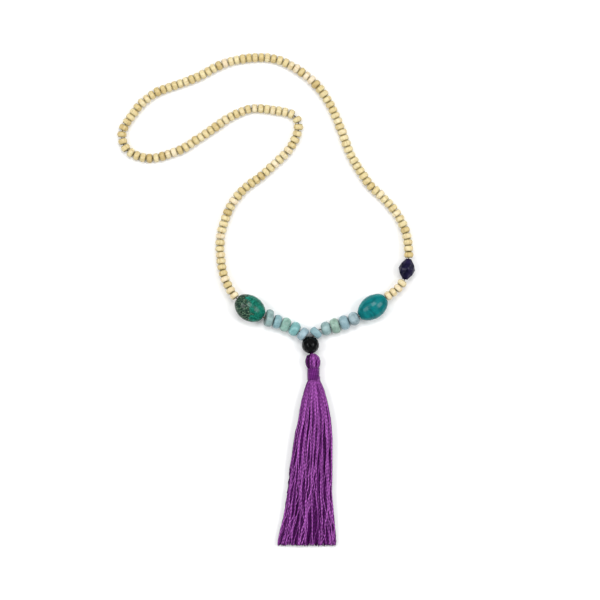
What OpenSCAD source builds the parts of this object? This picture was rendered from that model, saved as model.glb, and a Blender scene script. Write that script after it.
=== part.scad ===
// A tassel necklace lying flat. A closed string of small wood beads runs through one faceted
// purple bead and two polished nuggets, then through frosted rondelles to a faceted black ball.
// Both strands meet in that ball, and a long silk tassel hangs below it.
// Millimetres. +Y points to the top of the loop, +Z is up, and the table is at z = 0.
// The origin is the middle of the footprint.

/* [String] */
// Diameter of the stringing thread
thread_d = 0.6; // [0.4:0.05:0.8]
// Clearance round the thread in every hole
thread_clear = 0.4; // [0.3:0.05:0.6]
// Smallest gap between neighbours on the string
string_gap = 0.22; // [0.2:0.01:0.3]
// Gap between the black ball and the first rondelle of the left strand, where it turns
ball_gap = 0.5; // [0.4:0.05:0.8]

/* [Wood beads] */
// Diameter of a wood bead
wood_d = 5.25; // [4.4:0.05:6]
// Length of a wood bead along the string
wood_l = 3.15; // [2.8:0.05:3.8]
// Radius of the arc that rounds a wood bead's side
wood_side_r = 2.1; // [2:0.05:2.6]
// How much the beads differ in size, as a share of it
wood_uneven = 0.025; // [0:0.005:0.03]
// How far a bead sits off the string's line
wood_stray = 0.1; // [0:0.02:0.12]
// How far a bead leans off the string's line, in degrees
wood_lean = 1; // [0:0.25:1.25]
// Wood beads between the purple bead and the turquoise stone
wood_low_count = 4; // [2:1:6]

/* [Rondelles] */
// Diameter of an average rondelle
rondelle_d = 8.4; // [7:0.1:9]
// Thickness of an average rondelle along the string
rondelle_t = 5.1; // [4:0.1:5.3]
// Radius of the arc that rounds a rondelle's rim
rondelle_rim_r = 3.05; // [3.05:0.05:5]

/* [Nuggets] */
// Length of the green stone along its hole
green_l = 18; // [14:0.5:21]
// Width of the green stone as it lies
green_w = 15; // [12:0.5:16]
// Height of the green stone as it lies
green_h = 12.4; // [11:0.2:14]
// Length of the turquoise stone along its hole
turquoise_l = 18; // [14:0.5:20]
// Width of the turquoise stone as it lies
turquoise_w = 13.6; // [11:0.2:15]
// Height of the turquoise stone as it lies
turquoise_h = 11.6; // [10:0.2:13]

/* [Cut beads] */
// Diameter of the black ball
black_d = 10; // [9:0.1:11]
// Facets round the black ball
black_sides = 14; // [8:1:16]
// Diameter of the purple bead
purple_d = 9.4; // [8:0.1:10.5]
// Length of the purple bead along its hole
purple_l = 12; // [9:0.5:14]
// Facets round the purple bead
purple_sides = 8; // [8:1:10]

/* [Tassel] */
// Length of the tassel's head, from its top to the binding
head_l = 7.8; // [6:0.1:10]
// Width of the head
head_d = 8.8; // [7.5:0.1:9.6]
// Shift of the tassel to the right of the ball's middle
tassel_shift = 1.7; // [0:0.1:2.5]
// Diameter of the neck under the binding
neck_d = 5.9; // [5.2:0.1:6.4]
// Length of the binding
binding_l = 7; // [4:0.1:10]
// Thickness of the binding over the neck
binding_t = 0.45; // [0.35:0.05:0.7]
// Turns of thread that show in the binding
binding_turns = 6; // [4:1:8]
// Length of the skirt below the binding
skirt_l = 93; // [60:1:110]
// Width of the skirt at its cut end
skirt_w = 34; // [26:1:40]
// Height of the skirt where it is thickest
skirt_h = 7.2; // [6:0.2:9]
// Locks across the skirt
lock_count = 13; // [9:1:15]
// Diameter of the cord that holds the tassel
cord_d = 1; // [0.8:0.1:1.3]
// Clearance between the tassel's pieces
tassel_gap = 0.13; // [0.1:0.01:0.2]

/* [Hidden] */
LEFT_NAMES = ["rondelle_l1", "rondelle_l2", "rondelle_l3", "rondelle_l4", "rondelle_l5"];
RIGHT_NAMES = ["rondelle_r1", "rondelle_r2", "rondelle_r3", "rondelle_r4", "rondelle_r5"];

// Sag of the string's curve within the green stone
green_sag = 0.09;
// The same within the turquoise stone
turquoise_sag = 0.04;
// Heights of the string: through wood beads, rondelles, the big rondelle, the ball and the
// stones, each of which rests on the table
wood_z = wood_d / 2 * (1 + wood_uneven);
rondelle_z = rondelle_d / 2 * 1.06;
big_z = rondelle_d / 2 * 1.33;
ball_z = black_d / 2;
green_z = green_h / 2 + green_sag;
turquoise_z = turquoise_h / 2 + turquoise_sag;
purple_z = purple_d / 2;
function part_way(low, high, share) = low + (high - low) * share;

// The string's way round, clockwise from the black ball: up the left strand, over the inner
// bend, round the left end, over the top and down the right strand. Near a stone the string
// climbs from the table to the stone's hole.
route = [
    [24.5, -26.5, ball_z], [21.3, -20.9, part_way(rondelle_z, ball_z, 0.3)],
    [15.9, -17.6, rondelle_z], [10.2, -14.8, part_way(rondelle_z, big_z, 0.15)],
    [5.6, -13.4, part_way(rondelle_z, big_z, 0.5)], [0.8, -11.6, big_z],
    [-2, -11, part_way(big_z, green_z, 0.8)], [-9.5, -6.5, green_z], [-16.5, -1, green_z],
    [-21.5, 6, part_way(wood_z, green_z, 0.72)], [-25, 14.5, part_way(wood_z, green_z, 0.36)],
    [-26, 21, part_way(wood_z, green_z, 0.14)], [-26.5, 33, wood_z], [-24, 43.5, wood_z],
    [-19.5, 54, wood_z], [-12, 62.5, wood_z], [-2.5, 69.5, wood_z], [5.5, 77, wood_z],
    [11, 82, wood_z], [15, 88, wood_z], [17.5, 94, wood_z], [17.5, 100, wood_z],
    [15, 103.5, wood_z], [10.5, 105, wood_z], [5, 106, wood_z], [-2.5, 107, wood_z],
    [-9.5, 107, wood_z], [-20.5, 102.5, wood_z], [-29.5, 96.5, wood_z], [-39, 90, wood_z],
    [-48.5, 84, wood_z], [-58, 80.5, wood_z], [-65.5, 79, wood_z], [-72.5, 80, wood_z],
    [-79, 83.5, wood_z], [-82, 89.5, wood_z], [-81.5, 95.5, wood_z], [-77, 102.5, wood_z],
    [-71, 110, wood_z], [-64, 115.5, wood_z], [-57, 118.5, wood_z], [-46.5, 122, wood_z],
    [-36, 126.5, wood_z], [-26, 132, wood_z], [-15, 135, wood_z], [-4, 136, wood_z],
    [7, 134.5, wood_z], [17.5, 129, wood_z], [26, 122.5, wood_z], [33, 114, wood_z],
    [38.5, 103.5, wood_z], [42.5, 93.5, wood_z], [46.5, 82.5, wood_z], [52, 73, wood_z],
    [58.5, 63.5, wood_z], [66.5, 56, wood_z], [73.5, 47.5, wood_z],
    [78.5, 37, part_way(wood_z, purple_z, 0.3)], [80, 26, part_way(wood_z, purple_z, 0.9)],
    [79, 13, purple_z], [74, 5.5, part_way(purple_z, turquoise_z, 0.4)],
    [67.5, 0.5, turquoise_z], [60, -5, turquoise_z], [53, -10, turquoise_z],
    [49.5, -11.5, part_way(rondelle_z, turquoise_z, 0.7)],
    [43.5, -14, part_way(rondelle_z, turquoise_z, 0.2)], [38.5, -15.8, rondelle_z],
    [32.7, -17.5, rondelle_z], [28.2, -18.5, part_way(rondelle_z, ball_z, 0.15)],
    [26, -21.6, part_way(rondelle_z, ball_z, 0.3)], [24.5, -26.5, ball_z]];
// Shift that brings the middle of the footprint to the origin
to_middle = [0.53, 1.1, 0];
laid = [for (p = route) p + to_middle];
// Where both strands meet, the middle of the black ball
meet = laid[0];
// Steps of the smooth curve between two route points
route_steps = 8;

// Each rondelle of the left strand, from the black ball: diameter and room along the string as
// shares of the average diameter and thickness, and how far it leans in the string, in degrees
left_rows = [[0.91, 0.84, 0], [0.99, 1.04, 0], [0.98, 0.97, 0], [0.95, 0.82, 0], [1.32, 0.94, -5]];
// The same for the right strand
right_rows = [[0.86, 0.82, 0], [0.94, 1.02, 0], [1.06, 0.92, 0], [1, 1.04, 0], [0.94, 1.14, 0]];

bore_d = thread_d + 2 * thread_clear;
// Reach of the thread's ends from the middle of the black ball
thread_stop = 1.6;
thread_sides = 6;
wood_seed = 11;
wood_most = 400;

// Cut of a drilled bead's end: what stays of the radius round the hole
wood_face_r = wood_d / 2 - wood_side_r + sqrt(pow(wood_side_r, 2) - pow(wood_l / 2, 2));
function rondelle_face_r(row) = rondelle_d * row[0] / 2 - rondelle_rim_r
    + sqrt(pow(rondelle_rim_r, 2) - pow(rondelle_t * row[1] / 2, 2));

// Smooth curve through the route points

function spaced(a, b) = max(sqrt(norm(b - a)), 0.001);
function tangent(a, b, c) = let (d = spaced(a, b), e = spaced(b, c))
    (b - a) / d - (c - a) / (d + e) + (c - b) / e;
function bend_between(a, b, c, d, t) = let (
    e = spaced(b, c),
    m = tangent(a, b, c) * e,
    n = tangent(b, c, d) * e,
    t2 = t * t,
    t3 = t2 * t)
    (2 * t3 - 3 * t2 + 1) * b + (t3 - 2 * t2 + t) * m + (3 * t2 - 2 * t3) * c + (t3 - t2) * n;
function beyond(a, b) = 2 * a - b;
last_point = len(laid) - 1;
ends_added = concat([beyond(laid[0], laid[1])], laid,
    [beyond(laid[last_point], laid[last_point - 1])]);
curve = concat(
    [for (i = [0:last_point - 1]) for (k = [0:route_steps - 1])
        bend_between(ends_added[i], ends_added[i + 1], ends_added[i + 2], ends_added[i + 3],
            k / route_steps)],
    [laid[last_point]]);
curve_run = [for (i = 0, s = 0; i < len(curve);
    s = s + (i + 1 < len(curve) ? norm(curve[i + 1] - curve[i]) : 0), i = i + 1) s];
curve_x = [for (i = [0:len(curve) - 1]) [curve_run[i], curve[i].x]];
curve_y = [for (i = [0:len(curve) - 1]) [curve_run[i], curve[i].y]];
curve_z = [for (i = [0:len(curve) - 1]) [curve_run[i], max(curve[i].z, wood_z)]];
route_l = curve_run[len(curve_run) - 1];
function on_string(s) = [lookup(s, curve_x), lookup(s, curve_y), lookup(s, curve_z)];

// Places of the beads along the string. A span is where a bead starts and ends on the route.
// Where the string turns, neighbours touch at the inner edge, so their gap opens on the axis.

function heading(a, b) = atan2(b.y - a.y, b.x - a.x);
function angle_between(a, b) = acos(min(1, a * b / (norm(a) * norm(b))));
// Turn of the string from a bead of length before_l, which ends at s, over a gap to the next
function turn_at(s, before_l, after_l, gap) = angle_between(
    on_string(s) - on_string(s - before_l), on_string(s + gap + after_l) - on_string(s + gap));
// Gap opened by the turn: back is 0 where the first bead's end s is given, 1 where s is the
// start of the second bead
function opened(s, back, before_l, after_l, face_r, gap, rounds) = rounds == 0 ? gap
    : let (last = opened(s, back, before_l, after_l, face_r, gap, rounds - 1))
    gap + 2 * face_r * tan(turn_at(s - back * last, before_l, after_l, last) / 2);
function gap_after(s, before_l, after_l, face_r, gap) =
    opened(s, 0, before_l, after_l, face_r, gap, 3);
function gap_before(s, before_l, after_l, face_r, gap) =
    opened(s, 1, before_l, after_l, face_r, gap, 3);

function next_of(list, i) = list[min(i + 1, len(list) - 1)];
function shared_face_r(face_rs, i) = (face_rs[i] + next_of(face_rs, i)) / 2;
function spans_up(from, lengths, face_rs) = [
    for (i = 0, s = from; i < len(lengths);
        s = s + lengths[i] + gap_after(s + lengths[i], lengths[i], next_of(lengths, i),
            shared_face_r(face_rs, i), string_gap),
        i = i + 1)
        [s, s + lengths[i]]];
function spans_down(from, lengths, face_rs) = [
    for (i = 0, s = from; i < len(lengths);
        s = s - lengths[i] - gap_before(s - lengths[i], next_of(lengths, i), lengths[i],
            shared_face_r(face_rs, i), string_gap),
        i = i + 1)
        [s - lengths[i], s]];

left_t = [for (row = left_rows) rondelle_t * row[1]];
right_t = [for (row = right_rows) rondelle_t * row[1]];
left_face_rs = [for (row = left_rows) rondelle_face_r(row)];
right_face_rs = [for (row = right_rows) rondelle_face_r(row)];
// What lies flat round a stone's hole, and its share of the gap to the last rondelle
stone_face_r = 1.3;
function beside_stone(face_rs) = (face_rs[len(face_rs) - 1] + stone_face_r) / 2;
// The right strand turns more at the ball, so that its first rondelle stands further off
right_more = 0.2;
left_reach = black_d / 2 + ball_gap;
right_reach = left_reach + right_more;
left_spans = spans_up(left_reach, left_t, left_face_rs);
right_spans = spans_down(route_l - right_reach, right_t, right_face_rs);
left_end = left_spans[len(left_spans) - 1][1];
right_end = right_spans[len(right_spans) - 1][0];
green_start = left_end
    + gap_after(left_end, left_t[len(left_t) - 1], green_l, beside_stone(left_face_rs), string_gap);
green_span = [green_start, green_start + green_l];
turquoise_stop = right_end
    - gap_before(right_end, turquoise_l, right_t[len(right_t) - 1], beside_stone(right_face_rs),
        string_gap);
turquoise_span = [turquoise_stop - turquoise_l, turquoise_stop];

wood_rand = rands(-1, 1, 4 * wood_most, wood_seed);
function wood_share(i) = 1 + wood_uneven * wood_rand[i];
function wood_long(i) = wood_l * wood_share(i);
low_spans = spans_down(
    turquoise_span[0] - gap_before(turquoise_span[0], wood_l, turquoise_l, wood_face_r, string_gap),
    [for (i = [0:wood_low_count - 1]) wood_long(wood_most - 1 - i)],
    [for (i = [0:wood_low_count - 1]) wood_face_r]);
low_end = low_spans[wood_low_count - 1][0];
purple_stop = low_end - gap_before(low_end, purple_l, wood_l, wood_face_r, string_gap);
purple_span = [purple_stop - purple_l, purple_stop];

// As many wood beads as fit between the green stone and the purple bead. What is left over
// is shared among their gaps.
wood_from = green_span[1] + gap_after(green_span[1], green_l, wood_l, wood_face_r, string_gap);
wood_to = purple_span[0] - gap_before(purple_span[0], wood_l, purple_l, wood_face_r, string_gap);
function wood_step(s, i, gap) =
    wood_long(i) + gap_after(s + wood_long(i), wood_l, wood_l, wood_face_r, gap);
wood_count = len([for (i = 0, s = wood_from; s + wood_long(i) <= wood_to;
    s = s + wood_step(s, i, string_gap), i = i + 1) i]);
function wood_spans(gap) = [for (i = 0, s = wood_from; i < wood_count;
    s = s + wood_step(s, i, gap), i = i + 1) [s, s + wood_long(i)]];
function shared_gap(gap, rounds) = rounds == 0 ? gap
    : shared_gap(gap + (wood_to - wood_spans(gap)[wood_count - 1][1]) / (wood_count - 1),
        rounds - 1);
main_spans = wood_spans(shared_gap(string_gap, 3));

function chord(span) = norm(on_string(span[1]) - on_string(span[0]));
// Angles that turn Z to a direction
function z_turned_to(way) = [0, acos(way.z / norm(way)), atan2(way.y, way.x)];

// Turns a bead whose hole lies along Z to its span on the string
module strung(span) {
    a = on_string(span[0]);
    b = on_string(span[1]);
    translate((a + b) / 2)
        rotate(z_turned_to(b - a))
            children();
}

// Closed skin over rings of points, each with as many points, turning left round the way from
// the first ring to the last
module skin(rings) {
    n = len(rings[0]);
    last = len(rings) - 1;
    polyhedron(
        points = [for (ring = rings) each ring],
        faces = concat(
            [[for (i = [0:n - 1]) i]],
            [for (k = [0:last - 1]) for (i = [0:n - 1]) each [
                [k * n + i, (k + 1) * n + i, k * n + (i + 1) % n],
                [(k + 1) * n + i, (k + 1) * n + (i + 1) % n, k * n + (i + 1) % n]]],
            [[for (i = [n - 1:-1:0]) last * n + i]]));
}

// Ring of points round Z
function ring(r, z, n, start) = [for (i = [0:n - 1])
    [r * cos(start + i * 360 / n), r * sin(start + i * 360 / n), z]];

module hole_along(l) {
    cylinder(h = 2 * l, d = bore_d, center = true, $fn = 32);
}

// Bead turned on a lathe: a rounded side between two flat ends, with its hole
module turned_bead(d, l, side_r) {
    rotate_extrude($fn = 48)
        intersection() {
            translate([bore_d / 2, -l / 2])
                square([d, l]);
            translate([d / 2 - side_r, 0])
                circle(r = side_r, $fn = 64);
        }
}

// Wood beads

module wood_bead(span, i) {
    share = wood_share(i);
    drop = wood_z - wood_d / 2 * share;
    way = heading(on_string(span[0]), on_string(span[1]));
    off = wood_stray * wood_rand[i + wood_most];
    translate([-off * sin(way), off * cos(way), -drop])
        strung(span)
            rotate([wood_lean * wood_rand[i + 2 * wood_most],
                wood_lean * wood_rand[i + 3 * wood_most] / 2, 0])
                turned_bead(wood_d * share, chord(span), wood_side_r * share);
}

module wood_beads() {
    color("burlywood") {
        for (i = [0:wood_count - 1])
            wood_bead(main_spans[i], i);
        for (i = [0:wood_low_count - 1])
            wood_bead(low_spans[i], wood_most - 1 - i);
    }
}

// Thread, with a ring in the middle of each gap. It keeps to the middle of the ball's holes and
// of the rondelles next to the ball.

strung_spans = concat(left_spans, [green_span], main_spans, [purple_span],
    [for (i = [wood_low_count - 1:-1:0]) low_spans[i]], [turquoise_span],
    [for (i = [len(right_spans) - 1:-1:0]) right_spans[i]]);
left_exit = (left_reach + black_d / 2) / 2;
right_exit = route_l - (right_reach + black_d / 2) / 2;
thread_stations = concat([left_exit, left_spans[0][1]],
    [for (i = [0:len(strung_spans) - 2]) (strung_spans[i][1] + strung_spans[i + 1][0]) / 2],
    [right_spans[0][0], right_exit]);
function in_ball(exit) = meet + thread_stop * (on_string(exit) - meet) / norm(on_string(exit) - meet);
thread_path = concat([in_ball(left_exit)], [for (s = thread_stations) on_string(s)],
    [in_ball(right_exit)]);

// Ring of a tube round point p, where the tube runs from point a to point b
function tube_ring(p, a, b, r, n) = let (
    along = (b - a) / norm(b - a),
    side = cross([0, 0, 1], along) / norm(cross([0, 0, 1], along)),
    up = cross(along, side))
    [for (i = [0:n - 1]) p + r * (cos(i * 360 / n) * side + sin(i * 360 / n) * up)];
function tube_rings(path, r, n) = [for (i = [0:len(path) - 1])
    tube_ring(path[i], path[max(i - 1, 0)], path[min(i + 1, len(path) - 1)], r, n)];

module thread() {
    color("dimgray")
        skin(tube_rings(thread_path, thread_d / 2, thread_sides));
}

// Rondelles

// A leaning rondelle is thinner than its room, so that it stays clear of its neighbours
module rondelle(span, row) {
    l = chord(span) - 2 * rondelle_face_r(row) * tan(abs(row[2]));
    color("powderblue")
        strung(span)
            rotate([row[2], 0, 0])
                turned_bead(rondelle_d * row[0], l, rondelle_rim_r);
}

// Nuggets. Each ring of a nugget is an oval with a few soft lumps.

nugget_sides = 16;
// Depth of each nugget's lumps, as a share of its size, and their turn round it in degrees
green_lump = 0.07;
green_turn = 40;
turquoise_lump = 0.05;
turquoise_turn = 200;
// How far the lumps twist along half the nugget, in degrees
lump_twist = 70;
// Station along the nugget and size of the ring there, both as shares of the half sizes
nugget_rows = [[-1, 0.3], [-0.94, 0.46], [-0.8, 0.65], [-0.6, 0.82], [-0.3, 0.96], [0, 1],
    [0.3, 0.96], [0.6, 0.81], [0.8, 0.63], [0.94, 0.45], [1, 0.3]];
function lump(angle, along, depth, turn) =
    1 - depth * (0.5 - 0.5 * cos(3 * angle + turn + lump_twist * along))
        * (1 - pow(sin(angle), 2) * 0.6) * (1 - pow(cos(angle), 8));
function nugget_ring(row, l, w, h, depth, turn) = [for (i = [0:nugget_sides - 1])
    let (angle = i * 360 / nugget_sides, size = row[1] * lump(angle, row[0], depth, turn))
    [h / 2 * size * cos(angle), w / 2 * size * sin(angle), l / 2 * row[0]]];

module nugget(span, w, h, depth, turn) {
    l = chord(span);
    strung(span)
        difference() {
            skin([for (row = nugget_rows) nugget_ring(row, l, w, h, depth, turn)]);
            hole_along(l);
        }
}

module green_stone() {
    color("seagreen")
        nugget(green_span, green_w, green_h, green_lump, green_turn);
}

module turquoise_stone() {
    color("darkcyan")
        nugget(turquoise_span, turquoise_w, turquoise_h, turquoise_lump, turquoise_turn);
}

// Cut beads. Each ring of corners stands half a facet on from the last, so the facets are
// triangles in diamond pairs, with a flat table at each end.

// Station and radius of each ring of corners, as shares of the half length and the radius
purple_rows = [[-1, 0.3], [-0.5, 0.82], [0, 1], [0.5, 0.82], [1, 0.3]];
// Angle from the ball's pole to each ring of corners
black_angles = [18, 39, 60, 81, 102, 123, 144, 165];

function cut_rings(stations, radii, sides) = [for (k = [0:len(stations) - 1])
    ring(radii[k], stations[k], sides, k * 180 / sides)];

module purple_bead() {
    l = chord(purple_span);
    color("midnightblue")
        strung(purple_span)
            difference() {
                skin(cut_rings([for (row = purple_rows) row[0] * l / 2],
                    [for (row = purple_rows) row[1] * purple_d / 2], purple_sides));
                hole_along(l);
            }
}

// The strands come in through two slanted holes and meet the tassel's cord in the middle
module black_ball() {
    r = black_d / 2;
    color("black")
        translate(meet)
            difference() {
                rotate([90, 0, 0])
                    skin(cut_rings([for (a = black_angles) -r * cos(a)],
                        [for (a = black_angles) r * sin(a)], black_sides));
                for (exit = [left_exit, right_exit])
                    rotate(z_turned_to(on_string(exit) - meet))
                        cylinder(h = 2 * r, d = bore_d, $fn = 32);
                rotate([90, 0, 0])
                    cylinder(h = 2 * r, d = cord_hole_d, $fn = 32);
            }
}

// Tassel. u runs down it from its top, v across it to the right, z up from the table.

cord_hole_d = cord_d + 3 * tassel_gap;
tassel_top = [meet.x + tassel_shift, meet.y - black_d / 2 - tassel_gap];
function down(u, v, z) = [tassel_top.x + v, tassel_top.y - u, z];
binding_d = neck_d + 2 * tassel_gap + 2 * binding_t;
neck_z = binding_d / 2;
head_z = head_d / 2;
binding_u = head_l + tassel_gap;
skirt_u = binding_u + binding_l + tassel_gap;
head_sides = 16;

// The head: station as a share of its length, half width as a share of its own
head_rows = [[0, 0.28], [0.1, 0.62], [0.25, 0.86], [0.5, 1], [0.75, 0.96], [0.92, 0.84],
    [1, 0.68]];
// The folded strands leave shallow furrows from the top to the neck
head_furrow = 0.035;
function oval(u, v, z, half_w, half_h, n, furrow) = [for (i = [0:n - 1])
    let (angle = i * 360 / n, size = i % 2 == 0 ? 1 : 1 - furrow)
    down(u, v + half_w * size * cos(angle), z + half_h * size * sin(angle))];

module head() {
    neck_in = 2 * tassel_gap;
    skin(concat(
        [for (row = head_rows)
            oval(row[0] * head_l, 0, head_z + (neck_z - head_z) * row[0],
                head_d / 2 * row[1], min(head_d / 2 * row[1], head_z), head_sides, head_furrow)],
        [for (u = [head_l + neck_in, skirt_u + neck_in])
            oval(u, 0, neck_z, neck_d / 2, neck_d / 2, head_sides, 0)]));
}

// The skirt: station as a share of its length, then its left and right edges as shares of its
// end width, its top as a share of its height, and how round its underside still is
skirt_rows = [
    [0, -0.1, 0.115, 0.83, 1], [0.03, -0.13, 0.16, 0.89, 0.85], [0.08, -0.173, 0.205, 0.96, 0.5],
    [0.14, -0.216, 0.245, 1, 0.25], [0.23, -0.252, 0.295, 1, 0.08], [0.35, -0.333, 0.323, 0.96, 0],
    [0.5, -0.389, 0.323, 0.9, 0], [0.68, -0.445, 0.31, 0.8, 0], [0.83, -0.502, 0.349, 0.7, 0],
    [0.94, -0.58, 0.378, 0.62, 0], [1, -0.605, 0.39, 0.54, 0]];
lock_sides = 8;
lock_overlap = 1.7;
lock_seed = 5;
lock_end = rands(-0.012, 0.012, 40, lock_seed);
lock_wave = rands(-0.012, 0.012, 40, lock_seed + 1);
under_cut = 0.4;
function dome(side) = sqrt(1 - 0.8 * side * side);
function lock_ring(row, j) = let (
    side = (2 * j + 1) / lock_count - 1,
    left = row[1] * skirt_w,
    right = row[2] * skirt_w,
    step = (right - left) / lock_count,
    top = row[3] * skirt_h,
    middle = top / 2,
    high = middle + middle * dome(side),
    low = -under_cut * (1 - row[4]) + middle * (1 - dome(side)) * row[4],
    wave = lock_wave[j] * skirt_w * row[0] * sin(540 * row[0] + 50 * j))
    oval(skirt_u + skirt_l * row[0] * (1 + lock_end[j]), left + step * (j + 0.5) + wave,
        (high + low) / 2, step / 2 * lock_overlap, (high - low) / 2, lock_sides, 0);

module lock(j) {
    skin([for (row = skirt_rows) lock_ring(row, j)]);
}

// The cord comes out of the ball, over the head in a parting, and under the binding
cord_sides = 8;
cord_v = -0.28 * head_d;
cord_start_u = -black_d / 2 + thread_stop;
function cord_height(u) = head_z + (neck_z - head_z) * u / head_l;
cord_path = [
    down(cord_start_u, -tassel_shift, black_d / 2),
    down(-tassel_gap, -tassel_shift, black_d / 2),
    down(0.12 * head_l, -0.24 * head_d, cord_height(0) + 0.2 * head_d),
    down(0.3 * head_l, cord_v, cord_height(0.3 * head_l) + 0.36 * head_d),
    down(0.55 * head_l, cord_v, cord_height(0.55 * head_l) + 0.4 * head_d),
    down(0.8 * head_l, 0.97 * cord_v, cord_height(0.8 * head_l) + 0.34 * head_d),
    down(head_l, -0.27 * neck_d, neck_z + 0.27 * neck_d),
    down(binding_u + 0.4 * binding_l, -0.25 * neck_d, neck_z + 0.25 * neck_d)];
// The parting runs on past the cord's end by the clearance
parting_path = concat(cord_path,
    [down(binding_u + 0.4 * binding_l + tassel_gap, -0.25 * neck_d, neck_z + 0.25 * neck_d)]);

module tassel_cord() {
    color("indigo")
        skin(tube_rings(cord_path, cord_d / 2, cord_sides));
}

module tassel() {
    color("darkorchid")
        difference() {
            union() {
                head();
                for (j = [0:lock_count - 1])
                    lock(j);
            }
            skin(tube_rings(parting_path, cord_d / 2 + tassel_gap, cord_sides));
            translate([-skirt_w, tassel_top.y - 2 * skirt_l, -2 * skirt_h])
                cube([4 * skirt_w, 2 * skirt_l, 2 * skirt_h]);
        }
}

// Thread wound round the neck, turn beside turn
module tassel_binding() {
    pitch = binding_l / binding_turns;
    inner = neck_d / 2 + tassel_gap;
    color("purple")
        translate(down(binding_u, 0, neck_z))
            rotate([90, 0, 0])
                rotate_extrude($fn = 48)
                    intersection() {
                        translate([inner, 0])
                            square([2 * binding_t, binding_l]);
                        union() {
                            translate([inner - binding_t, -1])
                                square([1.4 * binding_t, binding_l + 2]);
                            for (k = [0:binding_turns - 1])
                                translate([inner + binding_t - 0.52 * pitch, (k + 0.5) * pitch])
                                    circle(r = 0.52 * pitch, $fn = 32);
                        }
                    }
}

wood_beads();
thread();
purple_bead();
green_stone();
turquoise_stone();
black_ball();
for (i = [0:len(LEFT_NAMES) - 1])
    rondelle(left_spans[i], left_rows[i]);
for (i = [0:len(RIGHT_NAMES) - 1])
    rondelle(right_spans[i], right_rows[i]);
tassel();
tassel_binding();
tassel_cord();
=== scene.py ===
# Looks of the tassel necklace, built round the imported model. Metres, Z up, table at z = 0.
import math

import bpy
import numpy as np
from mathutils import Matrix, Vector


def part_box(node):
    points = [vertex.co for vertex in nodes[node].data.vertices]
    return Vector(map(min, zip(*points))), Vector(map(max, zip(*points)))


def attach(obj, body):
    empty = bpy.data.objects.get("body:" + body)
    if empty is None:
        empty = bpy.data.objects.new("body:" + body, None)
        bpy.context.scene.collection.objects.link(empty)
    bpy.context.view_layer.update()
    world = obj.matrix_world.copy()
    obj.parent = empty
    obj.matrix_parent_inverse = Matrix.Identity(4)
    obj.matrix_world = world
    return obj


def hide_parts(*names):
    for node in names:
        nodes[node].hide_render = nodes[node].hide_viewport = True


MM = 0.001
# Corners of a CAD mesh that are nearer than this are one corner
MERGE = 0.002 * MM
# Length of wall at each end of a bore, before the face begins
LIP = 0.14 * MM
# Random starts of waves and turns are drawn from 0 to this, in radians
ANY_START = 6.3
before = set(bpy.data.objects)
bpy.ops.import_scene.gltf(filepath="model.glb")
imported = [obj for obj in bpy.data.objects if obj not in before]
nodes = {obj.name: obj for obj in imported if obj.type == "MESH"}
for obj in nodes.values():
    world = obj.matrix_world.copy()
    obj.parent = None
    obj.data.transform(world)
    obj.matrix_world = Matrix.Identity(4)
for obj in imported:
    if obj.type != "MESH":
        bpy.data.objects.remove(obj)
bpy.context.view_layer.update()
rng = np.random.default_rng(7)


# Mesh helpers

def make_mesh(name, verts, faces, smooth=True):
    mesh = bpy.data.meshes.new(name)
    verts = np.asarray(verts, np.float32)
    faces = np.asarray(faces, np.int32)
    n, k = faces.shape
    mesh.vertices.add(len(verts))
    mesh.vertices.foreach_set("co", verts.ravel())
    mesh.loops.add(n * k)
    mesh.loops.foreach_set("vertex_index", faces.ravel())
    mesh.polygons.add(n)
    mesh.polygons.foreach_set("loop_start", np.arange(0, n * k, k, dtype=np.int32))
    mesh.update(calc_edges=True)
    mesh.validate()
    mesh.polygons.foreach_set("use_smooth", np.full(len(mesh.polygons), smooth))
    return mesh


def make_object(name, mesh):
    obj = bpy.data.objects.new(name, mesh)
    bpy.context.scene.collection.objects.link(obj)
    return obj


def add_floats(mesh, name, values):
    layer = mesh.attributes.new(name, "FLOAT", "POINT")
    layer.data.foreach_set("value", np.asarray(values, np.float32))


def add_vectors(mesh, name, values):
    layer = mesh.attributes.new(name, "FLOAT_VECTOR", "POINT")
    layer.data.foreach_set("vector", np.asarray(values, np.float32).ravel())


def node_points(name):
    mesh = nodes[name].data
    co = np.zeros(len(mesh.vertices) * 3)
    mesh.vertices.foreach_get("co", co)
    return co.reshape(-1, 3)


def loose_solids(name):
    """Points of each separate solid of a node, in the order of their first corner."""
    mesh = nodes[name].data
    co = node_points(name)
    grid = np.round(co / MERGE).astype(np.int64)
    keys, where = np.unique(grid, axis=0, return_inverse=True)
    where = where.ravel()
    edges = np.zeros(len(mesh.edges) * 2, np.int32)
    mesh.edges.foreach_get("vertices", edges)
    edges = where[edges.reshape(-1, 2)]
    label = np.arange(len(keys))
    while True:
        low = np.minimum(label[edges[:, 0]], label[edges[:, 1]])
        before = label.copy()
        np.minimum.at(label, edges[:, 0], low)
        np.minimum.at(label, edges[:, 1], low)
        label = label[label]
        if np.array_equal(before, label):
            break
    return [co[label[where] == k] for k in np.unique(label)]


def bead_axes(points):
    """Middle, length, radius and own axes of a turned bead, its hole along the last one."""
    unique = np.unique(np.round(points, 8), axis=0)
    middle = unique.mean(0)
    spread = np.cov((unique - middle).T)
    values, vectors = np.linalg.eigh(spread)
    alone = 0 if values[1] - values[0] > values[2] - values[1] else 2
    axis = vectors[:, alone]
    side = np.cross([0.0, 0.0, 1.0], axis)
    side /= np.linalg.norm(side)
    up = np.cross(axis, side)
    along = (unique - middle) @ axis
    middle = middle + axis * (along.min() + along.max()) / 2
    off = (unique - middle) - np.outer((unique - middle) @ axis, axis)
    return middle, np.ptp(along), np.linalg.norm(off, axis=1).max(), np.array([side, up, axis])


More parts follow.
